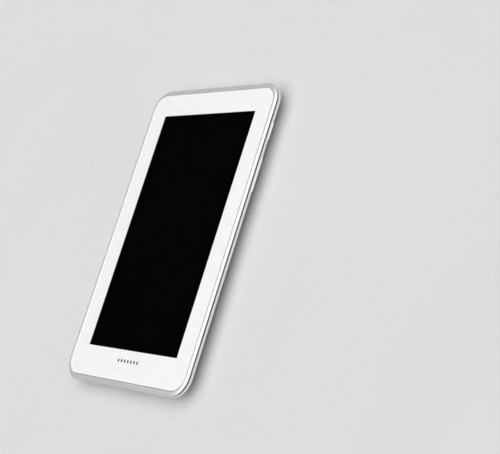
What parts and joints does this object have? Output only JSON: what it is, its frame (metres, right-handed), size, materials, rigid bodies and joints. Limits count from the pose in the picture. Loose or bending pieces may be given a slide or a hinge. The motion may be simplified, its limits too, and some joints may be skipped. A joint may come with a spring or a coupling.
{
  "type": "tablet computer",
  "caption": "Slim tablet computer: glass touch screen with a white border, silver rim, white hull-shaped back shell, side keys, hinged card door, ports and inner parts.",
  "frame": {"origin": "middle of the flat back face, which the tablet lies on", "axes": "+X to the right of the screen, +Y to its top edge, +Z out of the screen"},
  "size_m": [0.1228, 0.1938, 0.0105],
  "materials": {
    "clear_glass": "polished cover glass, clear, low iron",
    "white_ink": "white ink printed on the underside of the glass",
    "grey_ink": "dark grey ink",
    "black_adhesive": "black foam adhesive",
    "black_screen": "smooth black film, switched off",
    "panel_glass": "dark display cell",
    "white_diffuser": "white diffuser film",
    "plated_steel": "nickel-plated pressed steel",
    "silver_rim": "pearl silver, smooth and glossy",
    "black_rubber": "dark rubber",
    "grey_magnesium": "die-cast, fine satin grain",
    "white_shell": "glossy white moulded plastic",
    "white_key": "glossy white moulded plastic",
    "amber_film": "amber flat-cable film",
    "shield_steel": "thin pressed tin-plated steel",
    "board_laminate": "green solder mask on glass laminate",
    "chip_resin": "black moulded resin",
    "ivory_plastic": "ivory moulded plastic",
    "ceramic_brown": "sintered ceramic",
    "brass_can": "gold-plated can",
    "pouch_foil": "aluminium-laminate pouch, satin",
    "black_plastic": "black moulded plastic",
    "mesh_steel": "woven steel mesh",
    "ring_chrome": "bright plated ring",
    "dark_lens": "dark coated window",
    "screw_steel": "black-zinc steel"
  },
  "bodies": {
    "tablet": {"cover_glass": "clear_glass", "bezel_print": "white_ink", "front_mark": "grey_ink", "glass_adhesive": "black_adhesive", "touch_sensor": "black_screen", "lcd_panel": "panel_glass", "backlight": "white_diffuser", "display_frame": "plated_steel", "rim": "silver_rim", "seam_gasket": "black_rubber", "mid_frame": "grey_magnesium", "rear_cover": "white_shell", "rocker_pin": "plated_steel", "side_key_flex": "amber_film", "key_switches": "plated_steel", "card_door_pin": "plated_steel", "card_socket": "plated_steel", "main_board": "board_laminate", "processor_shield": "shield_steel", "radio_shield": "shield_steel", "board_chips": "chip_resin", "board_connectors": "ivory_plastic", "board_parts": "ceramic_brown", "io_board": "board_laminate", "usb_port": "plated_steel", "usb_tongue": "black_plastic", "microphone": "brass_can", "battery": "pouch_foil", "battery_board": "board_laminate", "battery_lead": "amber_film", "battery_tape": "black_adhesive", "board_flex": "amber_film", "display_flex": "amber_film", "touch_flex": "amber_film", "speakers": "black_plastic", "speaker_meshes": "mesh_steel", "headphone_jack": "black_plastic", "camera_module": "black_plastic", "camera_gasket": "black_rubber", "camera_ring": "ring_chrome", "camera_lens": "dark_lens", "wifi_antenna": "black_plastic", "gps_antenna": "black_plastic", "case_screws": "screw_steel", "board_screws": "screw_steel"},
    "power_key": {"power_key": "white_key"},
    "volume_rocker": {"volume_rocker": "white_key"},
    "card_door": {"card_door": "white_shell"}
  },
  "joints": [
    {"name": "power_press", "type": "slide", "parent": "tablet", "child": "power_key", "axis": [-1, 0, 0], "range_m": [0, 0.0003], "stiffness_N_per_m": 1500},
    {"name": "volume_tilt", "type": "hinge", "parent": "tablet", "child": "volume_rocker", "pos_m": [0.05765, 0.03905, 0.0073], "axis": [0, 0, 1], "range_deg": [-2, 2], "stiffness_Nm_per_rad": 0.12},
    {"name": "card_door_hinge", "type": "hinge", "parent": "tablet", "child": "card_door", "pos_m": [-0.05829, 0.04425, 0.00549], "axis": [0, -1, 0], "range_deg": [0, 90]}
  ]
}
